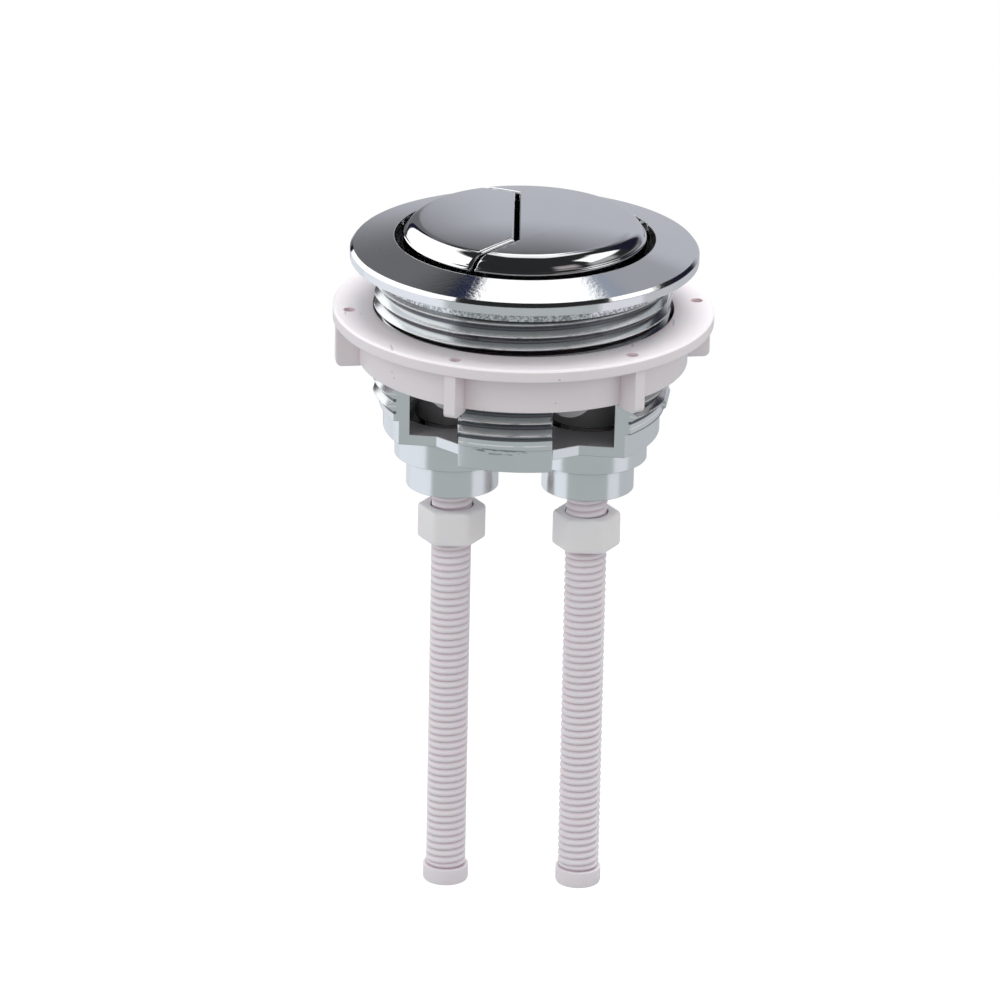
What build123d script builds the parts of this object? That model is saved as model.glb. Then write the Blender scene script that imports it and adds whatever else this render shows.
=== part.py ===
"""Dual flush push button for a cistern lid: bezel, two sprung buttons, ring nut and threaded push rods."""

from build123d import *
from math import cos, radians, sin
import os

os.makedirs("parts", exist_ok=True)

# The seat under the bezel flange is Z = 0, +Z is up out of the lid, and the two rods hang on the X axis.
# All sizes are in millimetres.

# Bezel flange, which lies on the lid
BEZEL_OVERHANG = 3.7
BEZEL_EDGE_HEIGHT = 1.9
BEZEL_LIP_HEIGHT = 3.6
BEZEL_EDGE_CHAMFER = 0.5

# Barrel, a tube with a coarse right-hand thread, two windows at the front and two at the back
BORE_RADIUS = 21.7
THREAD_ROOT_RADIUS = 23.9
THREAD_CREST_RADIUS = 25.0
THREAD_PITCH = 2.15
THREAD_START_Z = -24.17
THREAD_START_TURN = -10.0
RIDGE_BASE_HEIGHT = 1.75
RIDGE_BED_DEPTH = 0.2
COLLAR_STEP = 0.3
COLLAR_BOTTOM_Z = -2.35
STEP_Z = -25.4
FOOT_RADIUS = 23.15
BARREL_BOTTOM_Z = -29.5
FLOOR_THICKNESS = 1.8
MOULD_FLAT_X = 24.4
BARREL_TURN = -6.5

# Windows, cut square by the sides of the mould on both sides of a front and a back panel
WINDOW_TOP_Z = -15.0
WINDOW_FACE_Y = 13.4
PANEL_HALF_WIDTH = 7.88
PANEL_SHIFT = -0.65
GUSSET_FOOT_X = 11.9
GUSSET_TOP_Y = 16.3

# Guide cups under the floor, one round each rod, with a guide boss below
ROD_OFFSET = 11.35
CUP_RADIUS = 9.8
CUP_WALL = 1.5
CUP_BOTTOM_Z = -34.8
BOSS_RADIUS = 7.75
BOSS_BOTTOM_Z = -40.3

# Buttons, one dome split by a chevron groove
BUTTON_GAP = 1.5
DOME_TOP_Z = 7.9
DOME_EDGE_RADIUS = 17.3
DOME_EDGE_Z = 6.5
BEVEL_TILTS = (10, 40, 70)
DOME_STOCK = 0.5
SKIRT_BOTTOM_Z = -3.0
BUTTON_WALL = 1.6
CEILING_CORNER = 2.6
GROOVE_WIDTH = 0.8
GROOVE_X = -1.35
GROOVE_HALF_LENGTH = 12.0
GROOVE_SLANT = 41.0
PRESS_TRAVEL = 5.0

# Guide legs under the buttons, hooked into the windows so that the buttons stay in
LEG_CLEARANCE = 0.8
LEG_THICKNESS = 1.7
LEG_WIDTH = 5.5
LEG_BOTTOM_Z = -21.1
LEG_END_SAG = 0.9
HOOK_REACH = 1.7
HOOK_HEIGHT = 3.0
HOOK_ARC = 11.0
HOOK_PLAY = 0.3
HALF_LEG_TURNS = (-38.0, -144.0)
FULL_LEG_TURNS = (24.0, 142.0)

# Guide tubes under the buttons, which slide into the cups and hide the springs
GUIDE_TUBE_RADIUS = 6.4
GUIDE_TUBE_WALL = 0.7
GUIDE_TUBE_CEILING_Z = 3.0
GUIDE_TUBE_FLOOR_GAP = 0.4

# Plungers, fixed in the guide tubes, which hold the rods
PLUNGER_RADIUS = 4.7
PLUNGER_HEAD_HEIGHT = 15.0
SOCKET_DEPTH = 32.0
PLUNGER_REACH = 0.6

# Return springs
SPRING_WIRE_RADIUS = 0.35
SPRING_COIL_RADIUS = 5.25
SPRING_TURNS = 5
SPRING_BENDS_PER_TURN = 14

# Rods and their lock nuts
ROD_RADIUS = 3.6
ROD_FLAT_X = 3.35
ROD_BOTTOM_Z = -113.1
ROD_LENGTH = 102.0
ROD_END_RADIUS = 3.85
ROD_END_HEIGHT = 3.0
ROD_END_CHAMFER = 0.5
HALF_ROD_TURN = 0.0
FULL_ROD_TURN = -12.0
NUT_ACROSS_CORNERS = 11.8
NUT_CORNER_ROUND = 1.3
NUT_HEIGHT = 6.0
HALF_NUT_TOP_Z = -44.2
FULL_NUT_TOP_Z = -45.0

# Ring nut
RING_TOP_Z = -8.5
RING_RIM_WIDTH = 4.25
RING_THICKNESS = 2.05
RING_EDGE_CHAMFER = 0.35
HUB_WALL = 2.44
HUB_BOTTOM_Z = -17.4
WING_COUNT = 6
WING_INSET = 0.35
WING_THICKNESS = 2.0
WING_DROP = 0.7
WING_CORNER_ROUND = 1.0
WING_TURN = 8.0
PIT_RADIUS = 1.0
PIT_FROM_HUB = 1.6
PIT_DEPTH = 1.2

# Clearances
RUNNING_CLEARANCE = 0.06
THREAD_CLEARANCE = 0.05

# Places that follow from the sizes above
COLLAR_RADIUS = THREAD_CREST_RADIUS + COLLAR_STEP
BEZEL_RADIUS = COLLAR_RADIUS + BEZEL_OVERHANG
BUTTON_RADIUS = BORE_RADIUS - BUTTON_GAP
FLOOR_TOP_Z = BARREL_BOTTOM_Z + FLOOR_THICKNESS
CUP_BORE_RADIUS = CUP_RADIUS - CUP_WALL
CUP_FLOOR_Z = CUP_BOTTOM_Z + CUP_WALL
GUIDE_TUBE_BOTTOM_Z = CUP_FLOOR_Z + PRESS_TRAVEL + GUIDE_TUBE_FLOOR_GAP
GUIDE_TUBE_BORE_RADIUS = GUIDE_TUBE_RADIUS - GUIDE_TUBE_WALL
PLUNGER_HEAD_RADIUS = GUIDE_TUBE_BORE_RADIUS - THREAD_CLEARANCE
SPRING_TOP_Z = GUIDE_TUBE_CEILING_Z - PLUNGER_HEAD_HEIGHT
PLUNGER_BOTTOM_Z = BOSS_BOTTOM_Z - PLUNGER_REACH
ROD_SOCKET_RADIUS = ROD_RADIUS + THREAD_CLEARANCE
RING_BORE_RADIUS = THREAD_CREST_RADIUS + RUNNING_CLEARANCE
HUB_RADIUS = RING_BORE_RADIUS + HUB_WALL
RING_RADIUS = HUB_RADIUS + RING_RIM_WIDTH
WING_RADIUS = RING_RADIUS - WING_INSET
PIT_CIRCLE_RADIUS = HUB_RADIUS + PIT_FROM_HUB
OVERCUT = 1.0


def rod_axis(rod_x):
    """The upright axis of the rod that stands at the given X."""
    return Axis((rod_x, 0, 0), (0, 0, 1))


def turned_plane(height, turn):
    """A level plane at the given height, turned about Z."""
    return Plane.XY.offset(height).rotated((0, 0, turn))


def radial_plane(turn):
    """An upright plane whose X runs outwards from the Z axis, at an angle counted from +X."""
    outwards = (cos(radians(turn)), sin(radians(turn)), 0)
    facing = (sin(radians(turn)), -cos(radians(turn)), 0)
    return Plane(origin=(0, 0, 0), x_dir=outwards, z_dir=facing)


def outward_plane(turn):
    """An upright plane through the Z axis that faces outwards, at an angle counted from the front."""
    outwards = (sin(radians(turn)), -cos(radians(turn)), 0)
    sideways = (cos(radians(turn)), sin(radians(turn)), 0)
    return Plane(origin=(0, 0, 0), x_dir=sideways, z_dir=outwards)


def write(part, name):
    """Label a finished piece and write it."""
    part.label = name
    export_step(part, f"parts/{name}.step")


# Thread of the barrel, a ridge that winds up from its right-hand side into the collar
ridge_half_height = RIDGE_BASE_HEIGHT / 2
ridge_bed_radius = THREAD_ROOT_RADIUS - RIDGE_BED_DEPTH
ridge_bed_half_height = ridge_half_height * (
    (THREAD_CREST_RADIUS - ridge_bed_radius) / (THREAD_CREST_RADIUS - THREAD_ROOT_RADIUS)
)
with BuildPart() as thread_ridge:
    with BuildLine() as ridge_path:
        Helix(
            pitch=THREAD_PITCH,
            height=COLLAR_BOTTOM_Z + ridge_half_height / 2 - THREAD_START_Z,
            radius=THREAD_ROOT_RADIUS,
            center=(0, 0, THREAD_START_Z),
        )
    with BuildSketch(Plane.XZ):
        with BuildLine():
            Polyline(
                (ridge_bed_radius, THREAD_START_Z - ridge_bed_half_height),
                (THREAD_CREST_RADIUS, THREAD_START_Z),
                (ridge_bed_radius, THREAD_START_Z + ridge_bed_half_height),
                close=True,
            )
        make_face()
    sweep(path=ridge_path.line, is_frenet=True)

# Bezel and barrel, one moulding
with BuildPart() as bezel_barrel:
    with BuildSketch(Plane.XZ):
        with BuildLine():
            Polyline(
                (0, BARREL_BOTTOM_Z),
                (0, FLOOR_TOP_Z),
                (BORE_RADIUS, FLOOR_TOP_Z),
                (BORE_RADIUS, BEZEL_LIP_HEIGHT),
                (BEZEL_RADIUS, BEZEL_EDGE_HEIGHT),
                (BEZEL_RADIUS, 0),
                (COLLAR_RADIUS, 0),
                (COLLAR_RADIUS, COLLAR_BOTTOM_Z),
                (THREAD_ROOT_RADIUS, COLLAR_BOTTOM_Z),
                (THREAD_ROOT_RADIUS, STEP_Z),
                (FOOT_RADIUS, STEP_Z),
                (FOOT_RADIUS, BARREL_BOTTOM_Z),
                close=True,
            )
        make_face()
    revolve(axis=Axis.Z)
    rims = bezel_barrel.edges().filter_by(GeomType.CIRCLE).group_by(SortBy.RADIUS)[-1]
    chamfer(rims.sort_by(Axis.Z)[-1], BEZEL_EDGE_CHAMFER)
    add(thread_ridge.part.rotate(Axis.Z, THREAD_START_TURN))

    # Two long flats where the halves of the mould meet keep the thread clear of the parting line
    with BuildSketch(turned_plane(COLLAR_BOTTOM_Z, BARREL_TURN)):
        strip = THREAD_CREST_RADIUS - MOULD_FLAT_X + OVERCUT
        with GridLocations(2 * MOULD_FLAT_X + strip, 0, 2, 1):
            Rectangle(strip, 2 * THREAD_CREST_RADIUS)
    extrude(amount=STEP_Z - COLLAR_BOTTOM_Z, mode=Mode.SUBTRACT)

    # Four windows, open at the bottom, with a slanted foot each side of the panels
    with BuildSketch(turned_plane(BARREL_BOTTOM_Z - OVERCUT, BARREL_TURN)):
        for end in (-1, 1):
            panel_x = -end * PANEL_SHIFT
            for side in (-1, 1):
                with BuildLine():
                    Polyline(
                        (panel_x + side * PANEL_HALF_WIDTH, end * BEZEL_RADIUS),
                        (panel_x + side * PANEL_HALF_WIDTH, end * GUSSET_TOP_Y),
                        (panel_x + side * GUSSET_FOOT_X, end * WINDOW_FACE_Y),
                        (side * BEZEL_RADIUS, end * WINDOW_FACE_Y),
                        (side * BEZEL_RADIUS, end * BEZEL_RADIUS),
                        close=True,
                    )
                make_face()
    extrude(amount=WINDOW_TOP_Z - BARREL_BOTTOM_Z + OVERCUT, mode=Mode.SUBTRACT)

    # Guide cups and bosses
    with BuildSketch(Plane.XY.offset(FLOOR_TOP_Z)):
        with GridLocations(2 * ROD_OFFSET, 0, 2, 1):
            Circle(CUP_RADIUS)
    extrude(amount=CUP_BOTTOM_Z - FLOOR_TOP_Z)
    with BuildSketch(Plane.XY.offset(CUP_BOTTOM_Z)):
        with GridLocations(2 * ROD_OFFSET, 0, 2, 1):
            Circle(BOSS_RADIUS)
    extrude(amount=BOSS_BOTTOM_Z - CUP_BOTTOM_Z)
    with BuildSketch(Plane.XY.offset(FLOOR_TOP_Z)):
        with GridLocations(2 * ROD_OFFSET, 0, 2, 1):
            Circle(CUP_BORE_RADIUS)
    extrude(amount=CUP_FLOOR_Z - FLOOR_TOP_Z, mode=Mode.SUBTRACT)
    with BuildSketch(Plane.XY.offset(FLOOR_TOP_Z)):
        with GridLocations(2 * ROD_OFFSET, 0, 2, 1):
            Circle(PLUNGER_RADIUS + RUNNING_CLEARANCE)
    extrude(amount=BOSS_BOTTOM_Z - FLOOR_TOP_Z - OVERCUT, mode=Mode.SUBTRACT)
write(bezel_barrel.part, "bezel_barrel")


# Buttons
def half_side(grow):
    """The half flush side of the groove's centre line, grown by the given amount, as a flat face."""
    reach = 2 * BEZEL_RADIUS
    far_x = GROOVE_X - reach * cos(radians(GROOVE_SLANT))
    far_y = GROOVE_HALF_LENGTH + reach * sin(radians(GROOVE_SLANT))
    with BuildSketch() as side:
        with BuildLine():
            Polyline(
                (far_x, -far_y),
                (GROOVE_X, -GROOVE_HALF_LENGTH),
                (GROOVE_X, GROOVE_HALF_LENGTH),
                (far_x, far_y),
                close=True,
            )
        make_face()
        offset(amount=grow, kind=Kind.INTERSECTION, mode=Mode.REPLACE)
    return side.sketch


def button_outline(full, inset):
    """The outline of one button seen from above, inset from its edges by the given amount."""
    with BuildSketch() as outline:
        Circle(BUTTON_RADIUS - inset)
        if full:
            add(half_side(GROOVE_WIDTH / 2 + inset), mode=Mode.SUBTRACT)
        else:
            add(half_side(-GROOVE_WIDTH / 2 - inset), mode=Mode.INTERSECT)
    return outline.sketch


def dome():
    """The round dome that both buttons are cut from: a shallow ball, a two-step bevel and a skirt."""
    rise = DOME_TOP_Z - DOME_EDGE_Z
    ball_radius = (DOME_EDGE_RADIUS**2 + rise**2) / (2 * rise)
    first, last = radians(BEVEL_TILTS[0]), radians(BEVEL_TILTS[-1])
    bevel_curve = (BUTTON_RADIUS - DOME_EDGE_RADIUS) / (sin(last) - sin(first))
    bevel = []
    for tilt in BEVEL_TILTS[1:]:
        outwards = bevel_curve * (sin(radians(tilt)) - sin(first))
        down = bevel_curve * (cos(first) - cos(radians(tilt)))
        bevel.append((DOME_EDGE_RADIUS + outwards, DOME_EDGE_Z - down))
    slope = (bevel[0][0] - DOME_EDGE_RADIUS) / (DOME_EDGE_Z - bevel[0][1])
    stock_top_z = DOME_TOP_Z + DOME_STOCK
    with BuildPart() as shape:
        with BuildSketch(Plane.XZ):
            with BuildLine():
                Polyline(
                    (0, stock_top_z),
                    (DOME_EDGE_RADIUS - slope * (stock_top_z - DOME_EDGE_Z), stock_top_z),
                    *bevel,
                    (BUTTON_RADIUS, SKIRT_BOTTOM_Z),
                    (0, SKIRT_BOTTOM_Z),
                    close=True,
                )
            make_face()
        revolve(axis=Axis.Z)
        with Locations((0, 0, DOME_TOP_Z - ball_radius)):
            Sphere(ball_radius, rotation=(90, 0, 0), mode=Mode.INTERSECT)
    return shape.part


def hollow():
    """The round space under both buttons, with a flat ceiling and a slanted corner under the bevel."""
    ceiling_z = DOME_EDGE_Z - BUTTON_WALL
    hollow_radius = BUTTON_RADIUS - BUTTON_WALL
    with BuildPart() as shape:
        with BuildSketch(Plane.XZ):
            with BuildLine():
                Polyline(
                    (0, ceiling_z),
                    (hollow_radius - CEILING_CORNER, ceiling_z),
                    (hollow_radius, ceiling_z - CEILING_CORNER),
                    (hollow_radius, SKIRT_BOTTOM_Z),
                    (0, SKIRT_BOTTOM_Z),
                    close=True,
                )
            make_face()
        revolve(axis=Axis.Z)
    return shape.part


def leg(turn):
    """One guide leg with its hook, at an angle counted from the front."""
    outer = BORE_RADIUS - LEG_CLEARANCE
    inner = outer - LEG_THICKNESS
    side_z = LEG_BOTTOM_Z + LEG_END_SAG
    with BuildPart() as strip:
        with BuildSketch(Plane.XY.offset(LEG_BOTTOM_Z)):
            Circle(outer)
            Circle(inner, mode=Mode.SUBTRACT)
        extrude(amount=-LEG_BOTTOM_Z)
        with BuildSketch(outward_plane(turn)):
            with BuildLine():
                ThreePointArc((-LEG_WIDTH / 2, side_z), (0, LEG_BOTTOM_Z), (LEG_WIDTH / 2, side_z))
                Polyline(
                    (LEG_WIDTH / 2, side_z),
                    (LEG_WIDTH / 2, OVERCUT),
                    (-LEG_WIDTH / 2, OVERCUT),
                    (-LEG_WIDTH / 2, side_z),
                )
            make_face()
        extrude(amount=BEZEL_RADIUS, mode=Mode.INTERSECT)
        hook_top = WINDOW_TOP_Z - HOOK_PLAY
        first_turn = turn - 90 - HOOK_ARC / 2
        with BuildSketch(radial_plane(first_turn)):
            with BuildLine():
                Polyline(
                    (inner + LEG_THICKNESS / 2, hook_top),
                    (outer + HOOK_REACH, hook_top),
                    (outer + HOOK_REACH, hook_top - HOOK_HEIGHT / 4),
                    (inner + LEG_THICKNESS / 2, hook_top - HOOK_HEIGHT),
                    close=True,
                )
            make_face()
        revolve(axis=Axis.Z, revolution_arc=HOOK_ARC)
    return strip.part


def press_button(full, rod_x, leg_turns):
    """One button: a hollow shell with a guide tube for its plunger and two hooked legs."""
    button_height = DOME_TOP_Z - SKIRT_BOTTOM_Z
    with BuildPart() as inside:
        add(hollow())
        with BuildSketch(Plane.XY.offset(SKIRT_BOTTOM_Z)):
            add(button_outline(full, BUTTON_WALL))
        extrude(amount=button_height, mode=Mode.INTERSECT)
    with BuildPart() as button:
        add(dome())
        with BuildSketch(Plane.XY.offset(SKIRT_BOTTOM_Z)):
            add(button_outline(full, 0))
        extrude(amount=button_height, mode=Mode.INTERSECT)
        add(inside.part, mode=Mode.SUBTRACT)
        with BuildSketch(Plane.XY.offset(GUIDE_TUBE_BOTTOM_Z)):
            with Locations((rod_x, 0)):
                Circle(GUIDE_TUBE_RADIUS)
        extrude(amount=DOME_EDGE_Z - BUTTON_WALL - GUIDE_TUBE_BOTTOM_Z)
        with BuildSketch(Plane.XY.offset(GUIDE_TUBE_BOTTOM_Z)):
            with Locations((rod_x, 0)):
                Circle(GUIDE_TUBE_BORE_RADIUS)
        extrude(amount=GUIDE_TUBE_CEILING_Z - GUIDE_TUBE_BOTTOM_Z, mode=Mode.SUBTRACT)
        for turn in leg_turns:
            add(leg(turn))
    return button.part


write(press_button(False, -ROD_OFFSET, HALF_LEG_TURNS), "half_flush_button")
write(press_button(True, ROD_OFFSET, FULL_LEG_TURNS), "full_flush_button")


# Plungers
def plunger(rod_x):
    """A stem with a wide head on top and a socket for the rod below."""
    socket_top_z = PLUNGER_BOTTOM_Z + SOCKET_DEPTH
    with BuildPart() as turned:
        with BuildSketch(Plane.XZ):
            with BuildLine():
                Polyline(
                    (rod_x, socket_top_z),
                    (rod_x, GUIDE_TUBE_CEILING_Z),
                    (rod_x + PLUNGER_HEAD_RADIUS, GUIDE_TUBE_CEILING_Z),
                    (rod_x + PLUNGER_HEAD_RADIUS, SPRING_TOP_Z),
                    (rod_x + PLUNGER_RADIUS, SPRING_TOP_Z),
                    (rod_x + PLUNGER_RADIUS, PLUNGER_BOTTOM_Z),
                    (rod_x + ROD_SOCKET_RADIUS, PLUNGER_BOTTOM_Z),
                    (rod_x + ROD_SOCKET_RADIUS, socket_top_z),
                    close=True,
                )
            make_face()
        revolve(axis=rod_axis(rod_x))
    return turned.part


write(plunger(-ROD_OFFSET), "half_flush_plunger")
write(plunger(ROD_OFFSET), "full_flush_plunger")


# Return springs
def return_spring(rod_x):
    """A wire coil with ends ground flat, between the floor of its cup and the plunger's head."""
    bends = SPRING_TURNS * SPRING_BENDS_PER_TURN
    rise = (SPRING_TOP_Z - CUP_FLOOR_Z) / bends
    points = []
    for bend in range(bends + 1):
        turn = radians(360 * bend / SPRING_BENDS_PER_TURN)
        x = rod_x + SPRING_COIL_RADIUS * cos(turn)
        y = SPRING_COIL_RADIUS * sin(turn)
        points.append((x, y, CUP_FLOOR_Z + rise * bend))
    with BuildPart() as coil:
        with BuildLine() as path:
            Polyline(*points)
        with BuildSketch(Plane(origin=path.line @ 0, z_dir=path.line % 0)):
            RegularPolygon(SPRING_WIRE_RADIUS, 4)
        sweep(transition=Transition.RIGHT)
        split(bisect_by=Plane.XY.offset(CUP_FLOOR_Z), keep=Keep.TOP)
        split(bisect_by=Plane.XY.offset(SPRING_TOP_Z), keep=Keep.BOTTOM)
    return coil.part


write(return_spring(-ROD_OFFSET), "half_flush_spring")
write(return_spring(ROD_OFFSET), "full_flush_spring")


# Rods
def push_rod(rod_x, turn):
    """A rod with two moulded flats along its thread and a plain round end."""
    with BuildPart() as rod:
        with BuildSketch(Plane.XY.offset(ROD_BOTTOM_Z)):
            with Locations(Location((rod_x, 0, 0), (0, 0, turn))):
                Circle(ROD_RADIUS)
                Rectangle(2 * ROD_FLAT_X, 2 * ROD_RADIUS, mode=Mode.INTERSECT)
        extrude(amount=ROD_LENGTH)
        with BuildSketch(Plane.XY.offset(ROD_BOTTOM_Z)):
            with Locations((rod_x, 0)):
                Circle(ROD_END_RADIUS)
        extrude(amount=ROD_END_HEIGHT)
        chamfer(rod.edges().group_by(Axis.Z)[0], ROD_END_CHAMFER)
    return rod.part


write(push_rod(-ROD_OFFSET, HALF_ROD_TURN), "half_flush_rod")
write(push_rod(ROD_OFFSET, FULL_ROD_TURN), "full_flush_rod")


# Lock nuts
def lock_nut(rod_x, top_z):
    """A six-sided nut with well rounded corners."""
    with BuildPart() as nut:
        with BuildSketch(Plane.XY.offset(top_z)):
            with Locations((rod_x, 0)):
                RegularPolygon(NUT_ACROSS_CORNERS / 2, 6)
        extrude(amount=-NUT_HEIGHT)
        fillet(nut.edges().filter_by(Axis.Z), NUT_CORNER_ROUND)
        with Locations((rod_x, 0, top_z)):
            Hole(ROD_SOCKET_RADIUS)
    return nut.part


write(lock_nut(-ROD_OFFSET, HALF_NUT_TOP_Z), "half_flush_lock_nut")
write(lock_nut(ROD_OFFSET, FULL_NUT_TOP_Z), "full_flush_lock_nut")

# Ring nut
ring_bottom_z = RING_TOP_Z - RING_THICKNESS
with BuildPart() as ring_nut:
    with BuildSketch(Plane.XZ):
        with BuildLine():
            Polyline(
                (RING_BORE_RADIUS, RING_TOP_Z),
                (RING_RADIUS, RING_TOP_Z),
                (RING_RADIUS, ring_bottom_z),
                (HUB_RADIUS, ring_bottom_z),
                (HUB_RADIUS, HUB_BOTTOM_Z),
                (RING_BORE_RADIUS, HUB_BOTTOM_Z),
                close=True,
            )
        make_face()
    revolve(axis=Axis.Z)
    outer_rims = ring_nut.edges().filter_by(GeomType.CIRCLE).group_by(SortBy.RADIUS)[-1]
    chamfer(outer_rims.sort_by(Axis.Z)[-1], RING_EDGE_CHAMFER)
    for wing in range(WING_COUNT):
        turn = WING_TURN + wing * 360 / WING_COUNT
        wing_bottom_z = HUB_BOTTOM_Z - WING_DROP
        with BuildSketch(radial_plane(turn)):
            with BuildLine():
                FilletPolyline(
                    (HUB_RADIUS - OVERCUT, ring_bottom_z),
                    (HUB_RADIUS - OVERCUT, wing_bottom_z),
                    (WING_RADIUS, wing_bottom_z),
                    (WING_RADIUS, ring_bottom_z),
                    radius=WING_CORNER_ROUND,
                )
                Line((WING_RADIUS, ring_bottom_z), (HUB_RADIUS - OVERCUT, ring_bottom_z))
            make_face()
        extrude(amount=WING_THICKNESS / 2, both=True)
    with BuildSketch(turned_plane(RING_TOP_Z, WING_TURN)):
        with PolarLocations(PIT_CIRCLE_RADIUS, WING_COUNT):
            Circle(PIT_RADIUS)
    extrude(amount=-PIT_DEPTH, mode=Mode.SUBTRACT)
write(ring_nut.part, "ring_nut")
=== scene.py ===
"""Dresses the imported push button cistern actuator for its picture, in metres and in the model's own frame."""

import math

import bmesh
import bpy
from mathutils import Matrix, Vector


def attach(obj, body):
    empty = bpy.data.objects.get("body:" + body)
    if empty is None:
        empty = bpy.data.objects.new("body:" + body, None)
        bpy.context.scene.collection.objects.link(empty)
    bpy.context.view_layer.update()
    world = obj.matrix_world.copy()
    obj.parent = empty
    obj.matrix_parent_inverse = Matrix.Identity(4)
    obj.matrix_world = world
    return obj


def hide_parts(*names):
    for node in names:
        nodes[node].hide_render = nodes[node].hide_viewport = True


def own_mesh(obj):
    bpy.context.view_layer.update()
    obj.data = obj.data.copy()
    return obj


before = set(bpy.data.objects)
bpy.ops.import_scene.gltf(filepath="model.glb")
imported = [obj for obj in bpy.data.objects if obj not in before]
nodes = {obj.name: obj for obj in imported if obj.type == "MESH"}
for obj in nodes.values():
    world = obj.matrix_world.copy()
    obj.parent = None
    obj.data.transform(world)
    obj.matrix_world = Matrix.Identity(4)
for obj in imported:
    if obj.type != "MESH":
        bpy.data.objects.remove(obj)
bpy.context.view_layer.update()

MM = 0.001
SIDES = {"half": -1, "full": 1}

# Camera
CAMERA_DISTANCE = 1.2
CAMERA_LIFT = math.radians(19.4089)
CAMERA_PAN = math.radians(-0.1656)
CAMERA_TILT = math.radians(1.9315)
CAMERA_ROLL = math.radians(1.1535)
CAMERA_LENS = 260.25
CAMERA_SENSOR = 36.0
CAMERA_NEAR = 0.05
CAMERA_FAR = 20.0

camera_data = bpy.data.cameras.new("camera")
camera_data.lens = CAMERA_LENS
camera_data.sensor_width = CAMERA_SENSOR
camera_data.clip_start = CAMERA_NEAR
camera_data.clip_end = CAMERA_FAR
camera = bpy.data.objects.new("camera", camera_data)
bpy.context.scene.collection.objects.link(camera)
camera_drop = CAMERA_LIFT + CAMERA_TILT
forward = Vector(
    (
        math.sin(CAMERA_PAN) * math.cos(camera_drop),
        math.cos(CAMERA_PAN) * math.cos(camera_drop),
        -math.sin(camera_drop),
    )
)
level_right = forward.cross(Vector((0, 0, 1))).normalized()
level_up = level_right.cross(forward)
right = level_right * math.cos(CAMERA_ROLL) + level_up * math.sin(CAMERA_ROLL)
up = level_up * math.cos(CAMERA_ROLL) - level_right * math.sin(CAMERA_ROLL)
camera.matrix_world = Matrix.Translation(
    (0, -CAMERA_DISTANCE * math.cos(CAMERA_LIFT), CAMERA_DISTANCE * math.sin(CAMERA_LIFT))
) @ Matrix((right, up, -forward)).transposed().to_4x4()
bpy.context.scene.camera = camera
bpy.context.scene.view_settings.view_transform = "Standard"


# Shader building
def linear(red, green, blue):
    """A colour given as screen values from 0 to 255, as the four linear numbers that a socket takes."""
    shares = [value / 255 for value in (red, green, blue)]
    return (*[s / 12.92 if s <= 0.04045 else ((s + 0.055) / 1.055) ** 2.4 for s in shares], 1.0)


def grey(level, warmth=0.0):
    """A linear grey, warmer or cooler by a small share."""
    return (level * (1 + warmth), level, level * (1 - warmth), 1.0)


def feed(tree, socket, value):
    """Link a socket to another one, or give it a plain value."""
    if isinstance(value, bpy.types.NodeSocket):
        tree.links.new(value, socket)
    else:
        socket.default_value = value


def shade(tree, kind, inputs=(), **settings):
    """Add a shader node with its settings, and feed its inputs by name or number."""
    node = tree.nodes.new("ShaderNode" + kind)
    for name, value in settings.items():
        setattr(node, name, value)
    for name, value in dict(inputs).items():
        feed(tree, node.inputs[name], value)
    return node


def calc(tree, operation, *values):
    """The result of a Math node."""
    return shade(tree, "Math", enumerate(values), operation=operation).outputs[0]


def product(tree, first, *others):
    """Several values multiplied together."""
    for other in others:
        first = calc(tree, "MULTIPLY", first, other)
    return first


def rest(tree, share):
    """What a share leaves of one."""
    return calc(tree, "SUBTRACT", 1.0, share)


def step(tree, value, low, high):
    """Zero below low, one above high, with a smooth rise between them."""
    inputs = {"Value": value, "From Min": low, "From Max": high}
    return shade(tree, "MapRange", inputs, interpolation_type="SMOOTHSTEP").outputs[0]


def noise(tree, place, scale, detail):
    """Soft noise about one half."""
    return shade(tree, "TexNoise", {"Vector": place, "Scale": scale, "Detail": detail}).outputs["Fac"]


def colour_mix(tree, share, first, second):
    """The first colour turning into the second as the share goes from nought to one."""
    return shade(tree, "Mix", {0: share, 6: first, 7: second}, data_type="RGBA").outputs[2]


def layered(tree, base, layers):
    """A colour with others laid over it, each given as its mask, its strength and its colour."""
    for mask, strength, colour in layers:
        base = colour_mix(tree, product(tree, mask, strength), base, colour)
    return base


def effect(name, inputs, outputs):
    """Start a node group; gives its tree, what it is fed and what it puts out."""
    tree = bpy.data.node_groups.new(name, "ShaderNodeTree")
    for label, value in inputs.items():
        kind = "NodeSocketColor" if isinstance(value, tuple) else "NodeSocketFloat"
        socket = tree.interface.new_socket(label, in_out="INPUT", socket_type=kind)
        socket.default_value = value
    for label, kind in outputs.items():
        tree.interface.new_socket(label, in_out="OUTPUT", socket_type="NodeSocket" + kind)
    given = tree.nodes.new("NodeGroupInput").outputs
    result = tree.nodes.new("NodeGroupOutput").inputs
    return tree, given, result


def use(tree, group, **inputs):
    """Place a node group in a material and give its outputs."""
    node = shade(tree, "Group", node_tree=group)
    for label, value in inputs.items():
        feed(tree, node.inputs[label.replace("_", " ")], value)
    return node.outputs


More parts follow.
